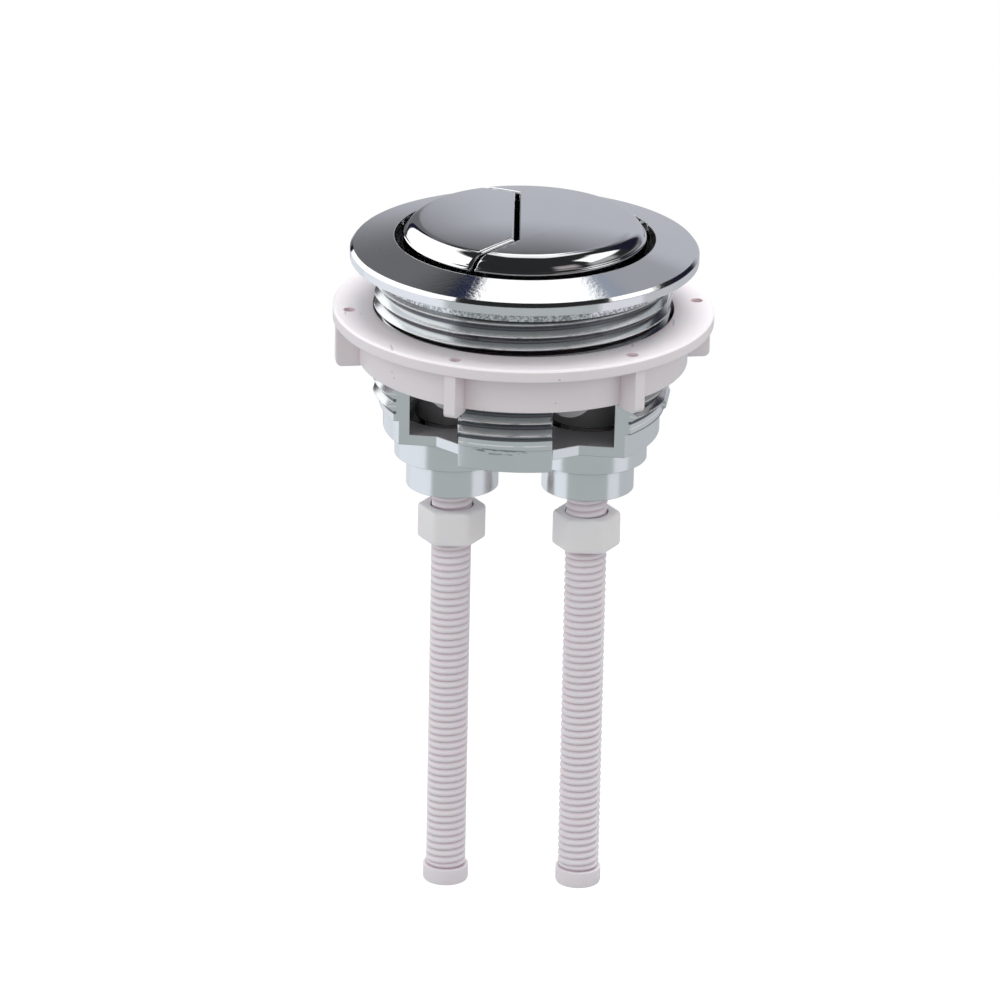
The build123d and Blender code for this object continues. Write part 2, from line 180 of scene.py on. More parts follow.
# Studio light
def light_panel_group():
    """A light panel painted over what is behind it, by the direction that is looked in."""
    inputs = {
        "Behind": grey(0.0),
        "Colour": grey(1.0),
        "Azimuth": 0.0,
        "Elevation": 0.0,
        "Centre Azimuth": 0.0,
        "Centre Elevation": 0.0,
        "Half Width": 10.0,
        "Half Height": 10.0,
        "Side Softness": 2.0,
        "End Softness": 2.0,
    }
    tree, given, result = effect("light_panel", inputs, {"Colour": "Color"})
    turned = calc(tree, "SUBTRACT", given["Azimuth"], given["Centre Azimuth"])
    aside = calc(tree, "ABSOLUTE", calc(tree, "WRAP", turned, -180.0, 180.0))
    raised = calc(tree, "ABSOLUTE", calc(tree, "SUBTRACT", given["Elevation"], given["Centre Elevation"]))
    masks = []
    for away, half, soft in (
        (aside, given["Half Width"], given["Side Softness"]),
        (raised, given["Half Height"], given["End Softness"]),
    ):
        inner = calc(tree, "SUBTRACT", half, soft)
        outer = calc(tree, "ADD", half, soft)
        masks.append(rest(tree, step(tree, away, inner, outer)))
    feed(tree, result["Colour"], colour_mix(tree, product(tree, *masks), given["Behind"], given["Colour"]))
    return tree


# Centre azimuth (0 behind the actuator, + to its right), centre elevation, half width, half height,
# softness of the sides and of the ends, all in degrees, and colour
LIGHT_PANELS = {
    "dim upper room": (0, 50, 181, 45, 0, 6, grey(0.022, -0.05)),
    "table towards the camera": (180, -35, 181, 24, 0, 8, (0.455, 0.49, 0.5, 1)),
    "table on the left": (-86, -30, 41, 24, 4, 8, (0.86, 0.89, 0.95, 1)),
    "table behind on the left": (-30, -30, 18, 24, 4, 8, (0.78, 0.81, 0.86, 1)),
    "table behind": (0, -30, 13, 24, 4, 8, (0.56, 0.58, 0.62, 1)),
    "table behind on the right": (53, -30, 41, 24, 3, 8, (0.54, 0.56, 0.59, 1)),
    "table on the right": (111, -30, 17, 24, 3, 8, (0.76, 0.77, 0.82, 1)),
    "backdrop shade": (6, 15, 36, 26, 5, 5, (0.15, 0.15, 0.16, 1)),
    "backdrop": (13, 4, 20, 27, 6, 9, (0.5, 0.51, 0.56, 1)),
    "backdrop right crest": (16, 36, 8, 8, 4, 4, (0.36, 0.37, 0.4, 1)),
    "gap beside the left light": (-24.7, 10, 3.3, 24, 0.8, 3, (0.01, 0.011, 0.03, 1)),
    "panel above, wide": (4, 61, 24, 11, 5, 4, grey(1.05)),
    "panel above, narrow": (1.5, 46, 7.7, 5.5, 0.7, 0.8, grey(1.3)),
    "blue beside the panel above": (11.6, 43, 2.4, 3.5, 1.5, 1.5, (0.3, 0.34, 0.42, 1)),
    "navy beside the panel above": (-8.2, 45, 1.7, 2.6, 0.5, 0.7, (0.008, 0.014, 0.05, 1)),
    "left light": (-75, 24, 47, 32, 0.8, 3, grey(1.35)),
    "right gap": (48, 26, 13, 18, 2, 3, (0.012, 0.012, 0.026, 1)),
    "right light": (85, 44, 23, 13, 1.5, 3, grey(1.3)),
    "right light's foot": (96, 22, 16, 9, 6, 4, grey(0.4)),
    "camera side wall": (136, 30, 12, 10, 5, 5, (0.38, 0.34, 0.35, 1)),
}
LEAST_SOFTNESS = 0.01
ROOM = grey(0.2)

# Even light that the plastics get, and the elevations between which it turns from floor to sky
DIFFUSE_SKY = grey(0.68)
DIFFUSE_FLOOR = grey(0.42)
DIFFUSE_RISE = (-30.0, 40.0)


def studio_world():
    """White behind the object, soft even light for the plastics and light panels for the plated faces."""
    panel = light_panel_group()
    world = bpy.data.worlds.new("studio")
    bpy.context.scene.world = world
    world.use_nodes = True
    tree = world.node_tree
    tree.nodes.clear()
    direction = shade(tree, "SeparateXYZ", {0: shade(tree, "TexCoord").outputs["Generated"]}).outputs
    azimuth = calc(tree, "DEGREES", calc(tree, "ARCTAN2", direction["X"], direction["Y"]))
    elevation = calc(tree, "DEGREES", calc(tree, "ARCSINE", direction["Z"]))
    colour = ROOM
    for turn, rise, half_width, half_height, side, end, panel_colour in LIGHT_PANELS.values():
        colour = use(
            tree,
            panel,
            Behind=colour,
            Colour=panel_colour,
            Azimuth=azimuth,
            Elevation=elevation,
            Centre_Azimuth=turn,
            Centre_Elevation=rise,
            Half_Width=half_width,
            Half_Height=half_height,
            Side_Softness=side + LEAST_SOFTNESS,
            End_Softness=end,
        )["Colour"]
    even = colour_mix(tree, step(tree, elevation, *DIFFUSE_RISE), DIFFUSE_FLOOR, DIFFUSE_SKY)
    ray = shade(tree, "LightPath").outputs
    mirrored = calc(tree, "MAXIMUM", ray["Is Glossy Ray"], ray["Is Transmission Ray"])
    colour = colour_mix(tree, mirrored, even, colour)
    colour = colour_mix(tree, ray["Is Camera Ray"], colour, grey(1.0))
    background = shade(tree, "Background", {"Color": colour, "Strength": 1.0})
    output = shade(tree, "OutputWorld", {"Surface": background.outputs[0]})
    output.is_active_output = True


studio_world()

# Place in metres, width in metres and watts of each soft lamp
LAMPS = {
    "top_lamp": ((0.1, 0.25, 1.0), 0.9, 11.3),
    "left_lamp": ((-0.9, -0.5, 0.45), 0.7, 2.7),
    "right_lamp": ((0.9, -0.45, 0.35), 0.7, 1.4),
    "front_lamp": ((0.0, -1.1, 0.1), 0.8, 0.25),
}
LAMP_AIM = Vector((0, 0, -0.04))


def soft_lamp(name, place, width, watts):
    """A large square lamp that lights the plastics and doesn't show in the plated faces."""
    data = bpy.data.lights.new(name, "AREA")
    data.size = width
    data.energy = watts
    lamp = bpy.data.objects.new(name, data)
    bpy.context.scene.collection.objects.link(lamp)
    lamp.location = place
    lamp.rotation_euler = (LAMP_AIM - Vector(place)).to_track_quat("-Z", "Y").to_euler()
    lamp.visible_glossy = False
    lamp.visible_camera = False


for lamp_name, lamp_values in LAMPS.items():
    soft_lamp(lamp_name, *lamp_values)

# Effects that more than one finish uses. A run of scratches has its turn and its stretch
EDGE_ROUND = 0.16
SCRATCH_RUNS = ((0.6, 0.12), (-0.9, 0.2), (1.9, 0.15))
SCRATCH_LEAN = 0.2
SCRATCH_TIP = 0.3
SCRATCH_LEVEL = 0.82
SCRATCH_SPREAD = 0.16
SCRATCH_EDGE = 0.03
SCRATCH_DETAIL = 2.0


def rounded_edge_group():
    """The surface normal with small rounds at the edges."""
    tree, _, result = effect("rounded_edge", {}, {"Normal": "Vector"})
    feed(tree, result["Normal"], shade(tree, "Bevel", {"Radius": EDGE_ROUND * MM}, samples=6).outputs[0])
    return tree


def grain_group():
    """Fine uneven grain of a moulding, as a height and as a slow cloudy mask."""
    inputs = {"Grain Size": 0.5, "Cloud Size": 6.0}
    tree, given, result = effect("moulding_grain", inputs, {"Height": "Float", "Cloud": "Float"})
    place = shade(tree, "TexCoord").outputs["Object"]
    for size, output, detail in (("Grain Size", "Height", 3.0), ("Cloud Size", "Cloud", 4.0)):
        scale = calc(tree, "DIVIDE", 1 / MM, given[size])
        feed(tree, result[output], noise(tree, place, scale, detail))
    return tree


def scuff_group():
    """Short fine scratches and specks, as a mask."""
    inputs = {"Spacing": 2.0, "Amount": 0.5}
    tree, given, result = effect("scuffs", inputs, {"Mask": "Float"})
    place = shade(tree, "TexCoord").outputs["Object"]
    scale = calc(tree, "DIVIDE", 1 / MM, given["Spacing"])
    low = calc(tree, "SUBTRACT", SCRATCH_LEVEL, product(tree, given["Amount"], SCRATCH_SPREAD))
    high = calc(tree, "ADD", low, SCRATCH_EDGE)
    scratches = 0.0
    for turn, stretch in SCRATCH_RUNS:
        mapping = shade(tree, "Mapping", {"Vector": place})
        mapping.inputs["Rotation"].default_value = (SCRATCH_TIP * turn, SCRATCH_LEAN, turn)
        mapping.inputs["Scale"].default_value = (1.0, stretch, 1.0)
        run = step(tree, noise(tree, mapping.outputs[0], scale, SCRATCH_DETAIL), low, high)
        scratches = calc(tree, "MAXIMUM", scratches, run)
    feed(tree, result["Mask"], scratches)
    return tree


def measured_place(tree, where):
    """A place's X, Y, height and distance from the upright axis, in millimetres."""
    scaled = shade(tree, "VectorMath", {0: where, 1: (1 / MM,) * 3}, operation="MULTIPLY").outputs[0]
    x, y, height = shade(tree, "SeparateXYZ", {0: scaled}).outputs
    flat = shade(tree, "CombineXYZ", {"X": x, "Y": y}).outputs[0]
    radius = shade(tree, "VectorMath", {0: flat}, operation="LENGTH").outputs["Value"]
    return {"x": x, "y": y, "height": height, "radius": radius}


# Painted highlights on the crests, painted shade in the hollows and on the collar under the bezel, and scars on
# the barrel.
# Places are in millimetres, and the edges of crests and hollows in pitches from the crest. A pair is the two
# ends of a soft edge, levels are of noise, and noises are swells a millimetre
THREAD_PITCH = 2.15
THREAD_START_Z = -24.17
THREAD_START_TURN = -10.0
THREAD_FOOT = (-25.4, -25.2)
THREAD_HEAD = (-2.6, -2.4)
THREAD_OUTSIDE = (23.4, 23.7)
CREST_EDGE = (0.03, 0.08)
CREST_HIGHLIGHT_BREAKS = (0.3, 0.5)
CREST_NOISE = 0.4
HOLLOW_EDGE = (0.35, 0.42)
SCAR_X = -3.4
SCAR_SIDES = (3.0, 5.0)
SCAR_Z = -26.0
SCAR_ENDS = (0.3, 0.8)
SCAR_STRETCH = (0.16, 0.16, 1.0)
SCAR_NOISE = 2.6
SCAR_LEVEL = (0.5, 0.58)
FRONT = (0.0, 1.0)
COLLAR_FOOT = (-2.5, -2.3)
COLLAR_HEAD = (-0.6, -0.3)
COLLAR_OUTSIDE = (24.9, 25.1)
COLLAR_SHADE_NOISE = 2.2
COLLAR_SHADE_LEVEL = (0.36, 0.62)


def thread_group():
    """Painted highlights on the thread crests, painted shade in the hollows, scars on the front foot and
    speckled painted shade on the collar under the bezel.
    """
    outputs = {"Crest": "Float", "Hollow": "Float", "Scar": "Float", "Collar": "Float"}
    tree, _, result = effect("thread_shading_and_marks", {}, outputs)
    where = shade(tree, "TexCoord").outputs["Object"]
    place = measured_place(tree, where)

    turn = calc(tree, "DEGREES", calc(tree, "ARCTAN2", place["y"], place["x"]))
    turns = calc(tree, "DIVIDE", calc(tree, "SUBTRACT", turn, THREAD_START_TURN), 360.0)
    pitches = calc(tree, "DIVIDE", calc(tree, "SUBTRACT", place["height"], THREAD_START_Z), THREAD_PITCH)
    past_crest = calc(tree, "WRAP", calc(tree, "SUBTRACT", pitches, turns), -0.5, 0.5)
    from_crest = calc(tree, "ABSOLUTE", past_crest)
    threaded = product(
        tree,
        step(tree, place["height"], *THREAD_FOOT),
        rest(tree, step(tree, place["height"], *THREAD_HEAD)),
        step(tree, place["radius"], *THREAD_OUTSIDE),
    )
    # Painted highlight along the thread crests, broken up by noise
    highlight_breaks = step(tree, noise(tree, where, CREST_NOISE / MM, detail=4.0), *CREST_HIGHLIGHT_BREAKS)
    crest = rest(tree, step(tree, from_crest, *CREST_EDGE))
    feed(tree, result["Crest"], product(tree, crest, highlight_breaks, threaded))
    # Painted shade in the thread hollows
    feed(tree, result["Hollow"], product(tree, step(tree, from_crest, *HOLLOW_EDGE), threaded))

    streaks = shade(tree, "Mapping", {"Vector": where})
    streaks.inputs["Scale"].default_value = SCAR_STRETCH
    aside = calc(tree, "ABSOLUTE", calc(tree, "SUBTRACT", place["x"], SCAR_X))
    above = calc(tree, "ABSOLUTE", calc(tree, "SUBTRACT", place["height"], SCAR_Z))
    scar = product(
        tree,
        step(tree, noise(tree, streaks.outputs[0], SCAR_NOISE / MM, detail=3.0), *SCAR_LEVEL),
        rest(tree, step(tree, aside, *SCAR_SIDES)),
        rest(tree, step(tree, above, *SCAR_ENDS)),
        step(tree, product(tree, place["y"], -1.0), *FRONT),
    )
    feed(tree, result["Scar"], scar)

    # Painted shade on the collar under the bezel, speckled by noise
    collar = product(
        tree,
        step(tree, place["height"], *COLLAR_FOOT),
        rest(tree, step(tree, place["height"], *COLLAR_HEAD)),
        step(tree, place["radius"], *COLLAR_OUTSIDE),
        step(tree, noise(tree, where, COLLAR_SHADE_NOISE / MM, detail=3.0), *COLLAR_SHADE_LEVEL),
    )
    feed(tree, result["Collar"], collar)
    return tree


thread_shading_and_marks = thread_group()
rounded_edge = rounded_edge_group()
moulding_grain = grain_group()
scuffs = scuff_group()

# Plating: colours, among them painted shade for corners, thread hollows and the collar and a painted highlight
# for the crests, roughness, loss of metal, and in millimetres the soft edges between its parts
SHOW_PLATING = (0.87, 0.875, 0.885, 1)
LOWER_PLATING = (0.82, 0.845, 0.85, 1)
# Painted shade colour for corners and hollows
PAINTED_CORNER_SHADE = (0.33, 0.34, 0.35, 1)
CLOUDED_PLATING = (0.55, 0.58, 0.6, 1)
PAINTED_HOLLOW_SHADE = (0.1, 0.1, 0.115, 1)
PAINTED_CREST_HIGHLIGHT = grey(1.0)
SCARS_AND_PAINTED_SHADE = (0.2, 0.2, 0.21, 1)
INNER_PLATING = (0.6, 0.59, 0.61, 1)
SHOW_ROUGHNESS = 0.05
LOWER_ROUGHNESS = 0.16
INNER_ROUGHNESS = 0.3
CLOUD_ROUGHNESS = 0.03
INNER_METAL_LOSS = 0.65
CREST_HIGHLIGHT_METAL_LOSS = 0.6
SHOW_FACE_EDGE = (-0.4, 0.2)
BORE_EDGE = (21.71, 21.75)
FLOOR_DEPTH = (27.7, 27.9)

# Other finishes
PLASTIC_ROUGHNESS_SPREAD = 0.12
GLOW_COLOUR = (1.0, 0.7, 0.6)
GLOW_DEPTH = 1.2
DARK_STEEL = (0.5, 0.49, 0.47, 1)
BRIGHT_STEEL = (0.7, 0.69, 0.67, 1)
STEEL_ROUGHNESS = 0.22
STEEL_ROUGHNESS_SPREAD = 0.2

# Painted shade in corners and hollows, from the shares of the surroundings that a place sees within a distance
SHELTER_DISTANCE = 3.0
PLATED_SHELTER = (0.3, 0.85)
PLASTIC_SHELTER = (0.25, 0.95)


def finish_tree(name):
    """Start a material; gives it, its tree and its Principled shader."""
    material = bpy.data.materials.new(name)
    material.use_nodes = True
    tree = material.node_tree
    return material, tree, tree.nodes["Principled BSDF"]


def painted_shade_mask(tree, low, high):
    """A mask for painted shade in corners and hollows, one where a place sees less than low of its
    surroundings.
    """
    seen = shade(tree, "AmbientOcclusion", {"Distance": SHELTER_DISTANCE * MM}, samples=8).outputs["AO"]
    return rest(tree, step(tree, seen, low, high))


def emboss(tree, shader, height, strength, depth, rounded=True):
    """Raise the surface by a height, with its edges rounded or as they are."""
    inputs = {"Height": height, "Strength": strength, "Distance": depth * MM}
    if rounded:
        inputs["Normal"] = use(tree, rounded_edge)["Normal"]
    feed(tree, shader.inputs["Normal"], shade(tree, "Bump", inputs).outputs[0])


def plated_finish(name, dim_depths, grain_depth, threaded):
    """Bright plating: mirror smooth on the show faces, greyer and grainier below, dim inside, with painted
    shade in its corners and, on the barrel, painted highlights on the crests and painted shade in the hollows
    and under the bezel.
    """
    material, tree, shader = finish_tree(name)
    place = measured_place(tree, shade(tree, "TexCoord").outputs["Object"])
    depth = product(tree, place["height"], -1.0)
    show_face = step(tree, place["height"], *SHOW_FACE_EDGE)
    grain = use(tree, moulding_grain, Grain_Size=0.35, Cloud_Size=5.0)
    peel = use(tree, moulding_grain, Grain_Size=0.6, Cloud_Size=9.0)
    dim = product(
        tree,
        rest(tree, step(tree, place["radius"], *BORE_EDGE)),
        step(tree, depth, *dim_depths),
        rest(tree, step(tree, depth, *FLOOR_DEPTH)),
    )
    metal = calc(tree, "MULTIPLY_ADD", dim, -INNER_METAL_LOSS, 1.0)
    layers = [
        # Painted shade in corners and hollows, darker where a place sees little of its surroundings
        (painted_shade_mask(tree, *PLATED_SHELTER), 0.6, PAINTED_CORNER_SHADE),
        (show_face, 1.0, SHOW_PLATING),
        (grain["Cloud"], 0.16, CLOUDED_PLATING),
    ]
    if threaded:
        shading_and_marks = use(tree, thread_shading_and_marks)
        layers += [
            # Painted shade in the hollows, painted highlight on the crests, real scars, and painted shade on
            # the collar under the bezel
            (shading_and_marks["Hollow"], 0.95, PAINTED_HOLLOW_SHADE),
            (shading_and_marks["Crest"], 0.7, PAINTED_CREST_HIGHLIGHT),
            (shading_and_marks["Scar"], 0.75, SCARS_AND_PAINTED_SHADE),
            (shading_and_marks["Collar"], 0.75, SCARS_AND_PAINTED_SHADE),
        ]
        # The crests lose metal so that their white painted highlight shows as a bright line
        metal = calc(tree, "SUBTRACT", metal, product(tree, shading_and_marks["Crest"], CREST_HIGHLIGHT_METAL_LOSS))
    layers.append((dim, 1.0, INNER_PLATING))
    feed(tree, shader.inputs["Base Color"], layered(tree, LOWER_PLATING, layers))
    feed(tree, shader.inputs["Metallic"], metal)
    rough = calc(tree, "MULTIPLY_ADD", show_face, SHOW_ROUGHNESS - LOWER_ROUGHNESS, LOWER_ROUGHNESS)
    rough = calc(tree, "ADD", rough, product(tree, grain["Cloud"], CLOUD_ROUGHNESS))
    inner_rough = product(tree, dim, INNER_ROUGHNESS)
    feed(tree, shader.inputs["Roughness"], calc(tree, "MAXIMUM", rough, inner_rough))
    relief = colour_mix(tree, show_face, grain["Height"], peel["Height"])
    emboss(tree, shader, relief, strength=0.5, depth=grain_depth)
    return material


def plastic_finish(name, colour, shade_and_mottle_colour, scuff_colour, roughness, glow, scuff_amount, clearness=0.0):
    """Moulded plastic with a soft glow inside, painted shade in its corners and lightly scuffed."""
    material, tree, shader = finish_tree(name)
    grain = use(tree, moulding_grain, Grain_Size=0.3, Cloud_Size=8.0)
    scratches = use(tree, scuffs, Spacing=1.6, Amount=scuff_amount)["Mask"]
    layers = (
        # Painted shade in the corners, in the same colour that also mottles the cloud
        (painted_shade_mask(tree, *PLASTIC_SHELTER), 0.75, shade_and_mottle_colour),
        (grain["Cloud"], 0.12, shade_and_mottle_colour),
        (scratches, 0.5, scuff_colour),
    )
    feed(tree, shader.inputs["Base Color"], layered(tree, colour, layers))
    rough = calc(tree, "MULTIPLY_ADD", grain["Cloud"], PLASTIC_ROUGHNESS_SPREAD, roughness)
    feed(tree, shader.inputs["Roughness"], rough)
    shader.inputs["Subsurface Weight"].default_value = glow
    shader.inputs["Subsurface Radius"].default_value = GLOW_COLOUR
    shader.inputs["Subsurface Scale"].default_value = GLOW_DEPTH * MM
    shader.inputs["Transmission Weight"].default_value = clearness
    emboss(tree, shader, grain["Height"], strength=0.3, depth=0.02)
    return material


def steel_finish():
    """Drawn spring wire, faintly mottled."""
    material, tree, shader = finish_tree("spring_steel")
    grain = use(tree, moulding_grain, Grain_Size=0.15, Cloud_Size=1.5)
    rough = calc(tree, "MULTIPLY_ADD", grain["Height"], STEEL_ROUGHNESS_SPREAD, STEEL_ROUGHNESS)
    feed(tree, shader.inputs["Base Color"], colour_mix(tree, grain["Cloud"], DARK_STEEL, BRIGHT_STEEL))
    shader.inputs["Metallic"].default_value = 1.0
    feed(tree, shader.inputs["Roughness"], rough)
    emboss(tree, shader, grain["Height"], strength=0.3, depth=0.01, rounded=False)
    return material


bezel_chrome = plated_finish("bezel_chrome", dim_depths=(1.5, 4.0), grain_depth=0.014, threaded=True)
button_chrome = plated_finish("button_chrome", dim_depths=(3.5, 5.0), grain_depth=0.005, threaded=False)
ring_nut_plastic = plastic_finish(
    "ring_nut_plastic",
    colour=linear(241, 237, 240),
    shade_and_mottle_colour=linear(222, 205, 210),
    scuff_colour=linear(150, 152, 172),
    roughness=0.3,
    glow=0.25,
    scuff_amount=0.45,
)
rod_plastic = plastic_finish(
    "rod_plastic",
    colour=linear(244, 239, 244),
    shade_and_mottle_colour=linear(206, 190, 196),
    scuff_colour=linear(190, 185, 195),
    roughness=0.34,
    glow=0.3,
    scuff_amount=0.15,
)
lock_nut_plastic = plastic_finish(
    "lock_nut_plastic",
    colour=linear(254, 252, 254),
    shade_and_mottle_colour=linear(247, 241, 245),
    scuff_colour=linear(205, 205, 208),
    roughness=0.26,
    glow=0.5,
    scuff_amount=0.1,
    clearness=0.04,
)
plunger_plastic = plastic_finish(
    "plunger_plastic",
    colour=linear(226, 220, 222),
    shade_and_mottle_colour=linear(190, 176, 178),
    scuff_colour=linear(180, 178, 184),
    roughness=0.36,
    glow=0.2,
    scuff_amount=0.1,
)
spring_steel = steel_finish()


def coat(mesh, material):
    """Give a mesh its one finish."""
    mesh.materials.clear()
    mesh.materials.append(material)


coat(nodes["ring_nut"].data, ring_nut_plastic)
for side in SIDES:
    coat(nodes[side + "_flush_plunger"].data, plunger_plastic)

# Sizes of the pieces below, in millimetres
ROD_OFFSET = 11.35
MERGE_DISTANCE = 1e-4
SMOOTH_ANGLE = math.radians(38)


def add_piece(name, mesh, material, body, node):
    """Place a mesh as a piece that stands for a node and rides on its body."""
    coat(mesh, material)
    piece = bpy.data.objects.new(name, mesh)
    bpy.context.scene.collection.objects.link(piece)
    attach(piece, body)
    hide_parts(node)
    return piece


def new_piece(name, shape, material, body, node):
    """Turn a bmesh in millimetres into a smooth piece."""
    bmesh.ops.scale(shape, vec=(MM, MM, MM), verts=shape.verts)
    for face in shape.faces:
        face.smooth = True
    mesh = bpy.data.meshes.new(name)
    shape.to_mesh(mesh)
    shape.free()
    mesh.set_sharp_from_angle(angle=SMOOTH_ANGLE)
    return add_piece(name, mesh, material, body, node)


def ring(shape, reaches, z):
    """A loop of corners round the Z axis, at the given distances from it."""
    loop = []
    for i, reach in enumerate(reaches):
        turn = 2 * math.pi * i / len(reaches)
        loop.append(shape.verts.new((reach * math.cos(turn), reach * math.sin(turn), z)))
    return loop


def bridge(shape, first, second):
    """Faces between two closed loops of as many corners."""
    count = len(first)
    for i in range(count):
        j = (i + 1) % count
        shape.faces.new((first[i], first[j], second[j], second[i]))


def new_corners(made):
    """The corners among what a bmesh operation has made."""
    return [item for item in made if isinstance(item, bmesh.types.BMVert)]


# Bezel and barrel, the panels' side walls where the photograph shows them. Each wall has its X
# in the barrel's own frame, seen from the front, and how far its outer edge moves to the right
BARREL_TURN = math.radians(-6.5)
WALL_FOOT_Y = 16.3
WALL_TOP_Y = 22.5
SKIN_RADIUS = 22.0
PANEL_WALLS = ((-8.53, 0.81), (7.23, 0.55))
WALL_FINDING = 0.02


def fitted_place(place):
    """A corner of the barrel in millimetres, moved if it is on a side wall of a panel."""
    for wall_x, shift in PANEL_WALLS:
        for end in (-1, 1):
            if end * place.y > WALL_FOOT_Y and abs(place.x + end * wall_x) < WALL_FINDING:
                share = min((end * place.y - WALL_FOOT_Y) / (WALL_TOP_Y - WALL_FOOT_Y), 1.0)
                radius = math.hypot(place.x, place.y)
                x = place.x - end * shift * share
                y = end * math.sqrt(radius**2 - x**2) if radius > SKIN_RADIUS else place.y
                return Vector((x, y, place.z))
    return place


barrel_mesh = nodes["bezel_barrel"].data.copy()
barrel_mesh.name = "bezel_barrel_plated"
untwist = Matrix.Rotation(-BARREL_TURN, 4, "Z")
for vertex in barrel_mesh.vertices:
    vertex.co = untwist.inverted() @ fitted_place(untwist @ vertex.co / MM) * MM
add_piece("bezel_barrel_plated", barrel_mesh, bezel_chrome, "bezel", "bezel_barrel")

# Rods, with a fine thread between two moulded flats
ROD_CREST = 3.6
ROD_ROOT = 3.12
ROD_FLAT = 3.35
ROD_PITCH = 1.25
ROD_PROFILE = (0.0, 0.4, 0.85, 1.0, 1.0, 0.85, 0.4)
ROD_SIDES = 72
ROD_RUN_OUT = 0.6
ROD_TOP = -11.1
ROD_SHOULDER = -110.1
ROD_FOOT = ((3.7, -110.1), (3.85, -110.25), (3.85, -112.65), (3.74, -112.95), (3.4, -113.1))
ROD_TURNS = {"half": 0.0, "full": -12.0}
LEVEL_FINDING = 1e-3


def close_end(shape, height, steps):
    """Carry the open end at a height on through rings of given radius and height, and close it."""
    edges = [
        edge
        for edge in shape.edges
        if edge.is_boundary and all(abs(vertex.co.z - height) < LEVEL_FINDING for vertex in edge.verts)
    ]
    for radius, z in steps:
        made = bmesh.ops.extrude_edge_only(shape, edges=edges)["geom"]
        edges = [item for item in made if isinstance(item, bmesh.types.BMEdge)]
        for vertex in new_corners(made):
            share = radius / math.hypot(vertex.co.x, vertex.co.y)
            vertex.co = (vertex.co.x * share, vertex.co.y * share, z)
    bmesh.ops.holes_fill(shape, edges=edges)


def rod_shape():
    """A rod about the Z axis, its rows of faces climbing with the right-hand thread."""
    shape = bmesh.new()
    rows = len(ROD_PROFILE)
    row_count = (math.ceil((ROD_TOP - ROD_SHOULDER) / ROD_PITCH) + 2) * rows
    columns = []
    for side in range(ROD_SIDES + 1):
        turn = 2 * math.pi * side / ROD_SIDES
        column = []
        for row in range(row_count):
            climb = ROD_PITCH * (row / rows + side / ROD_SIDES - 1)
            z = min(max(ROD_SHOULDER + climb, ROD_SHOULDER), ROD_TOP)
            run_out = min(1.0, (z - ROD_SHOULDER) / ROD_RUN_OUT, (ROD_TOP - z) / ROD_RUN_OUT)
            radius = ROD_ROOT + (ROD_CREST - ROD_ROOT) * ROD_PROFILE[row % rows] * run_out
            x = min(max(radius * math.cos(turn), -ROD_FLAT), ROD_FLAT)
            column.append(shape.verts.new((x, radius * math.sin(turn), z)))
        columns.append(column)
    for this, other in zip(columns, columns[1:]):
        for row in range(row_count - 1):
            shape.faces.new((this[row], other[row], other[row + 1], this[row + 1]))
    bmesh.ops.remove_doubles(shape, verts=shape.verts, dist=MERGE_DISTANCE)
    close_end(shape, ROD_TOP, ())
    close_end(shape, ROD_SHOULDER, ROD_FOOT)
    bmesh.ops.recalc_face_normals(shape, faces=shape.faces)
    return shape


for side, sign in SIDES.items():
    rod = rod_shape()
    turned = Matrix.Rotation(math.radians(ROD_TURNS[side]), 4, "Z")
    bmesh.ops.transform(rod, matrix=Matrix.Translation((sign * ROD_OFFSET, 0, 0)) @ turned, verts=rod.verts)
    new_piece(side + "_rod_threaded", rod, rod_plastic, side + "_rod", side + "_flush_rod")

# Return springs, round wire with ground ends
SPRING_LOW = -33.3
SPRING_HIGH = -12.0
SPRING_TURNS = 5
SPRING_BENDS = 28
SPRING_RADIUS = 5.25
WIRE_RADIUS = 0.35
WIRE_SIDES = 10


def spring_shape():
    """A coil about the Z axis."""
    shape = bmesh.new()
    bends = SPRING_TURNS * SPRING_BENDS
    loops = []
    for bend in range(bends + 1):
        turn = 2 * math.pi * bend / SPRING_BENDS
        middle_z = SPRING_LOW + (SPRING_HIGH - SPRING_LOW) * bend / bends
        loop = []
        for side in range(WIRE_SIDES):
            angle = 2 * math.pi * side / WIRE_SIDES
            radius = SPRING_RADIUS + WIRE_RADIUS * math.cos(angle)
            z = min(max(middle_z + WIRE_RADIUS * math.sin(angle), SPRING_LOW), SPRING_HIGH)
            loop.append(shape.verts.new((radius * math.cos(turn), radius * math.sin(turn), z)))
        loops.append(loop)
    for first, second in zip(loops, loops[1:]):
        bridge(shape, first, second)
    shape.faces.new(loops[0])
    shape.faces.new(loops[-1])
    bmesh.ops.recalc_face_normals(shape, faces=shape.faces)
    return shape


for side, sign in SIDES.items():
    coil = spring_shape()
    bmesh.ops.translate(coil, vec=(sign * ROD_OFFSET, 0, 0), verts=coil.verts)
    wire = new_piece(side + "_spring_wire", coil, spring_steel, "bezel", side + "_flush_spring")
    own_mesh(wire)

# Lock nuts, six-sided with rounded corners and rims
HALF_SIDE_TURN = math.radians(30)
NUT_POINT = 5.9
NUT_FLAT = NUT_POINT * math.cos(HALF_SIDE_TURN)
NUT_CORNER = 1.3
NUT_LEAST_CORNER = 0.2
NUT_HEIGHT = 6.0
NUT_BORE = 3.65
NUT_RIM = 0.6
NUT_RIM_STEPS = 5
NUT_SIDES = 144
NUT_TOPS = {"half": -44.2, "full": -45.0}


